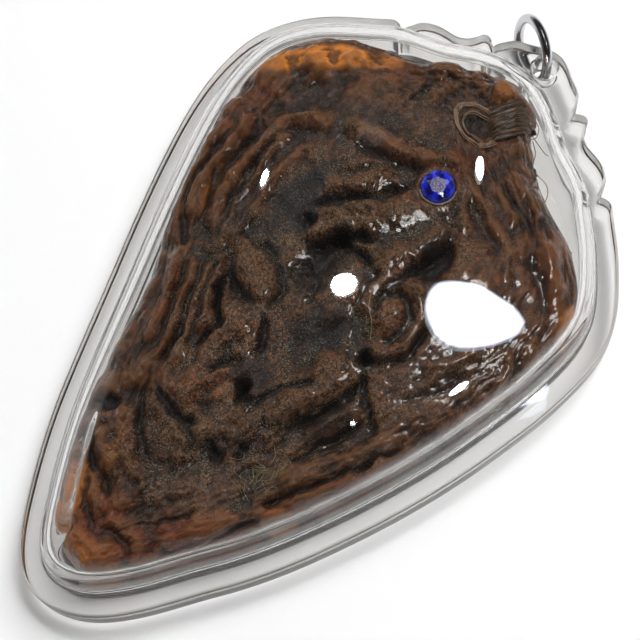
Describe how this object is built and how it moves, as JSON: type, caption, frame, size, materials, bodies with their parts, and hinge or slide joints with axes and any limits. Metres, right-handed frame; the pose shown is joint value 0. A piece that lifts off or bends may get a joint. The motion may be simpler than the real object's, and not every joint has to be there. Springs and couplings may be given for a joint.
{
  "type": "yoni amulet in clear display case",
  "caption": "Large folk amulet to wear on a ring: a dark folded charm with a blue stone and a lock of hair, sealed in a clear domed case with a scalloped crest.",
  "frame": {"origin": "middle of the flat back face that the case lies on, on the axis of the crest", "axes": "+Y along the case to the crest and its ring, +Z out of the domed front, +X to the right seen from the front"},
  "size_m": [0.0651, 0.0991, 0.0153],
  "materials": {
    "case_cover": "clear polished acrylic",
    "case_rim": "clear cast acrylic with polished edges",
    "charm": "leathery folds under a glossy amber-brown resin coat",
    "stone": "faceted royal blue",
    "hair": "coarse brown strands",
    "ring_steel": "polished steel"
  },
  "bodies": {
    "case": {"back_cover": "case_cover", "rim_plate": "case_rim", "front_dome": "case_cover", "charm_body": "charm", "gem": "stone", "hair_tuft": "hair"},
    "ring": {"ring": "ring_steel"}
  },
  "joints": [
    {"name": "ring_swing", "type": "hinge", "parent": "case", "child": "ring", "pos_m": [0, 0.0462, 0.00495], "axis": [0, 0, 1], "range_deg": [-145, 15]}
  ]
}
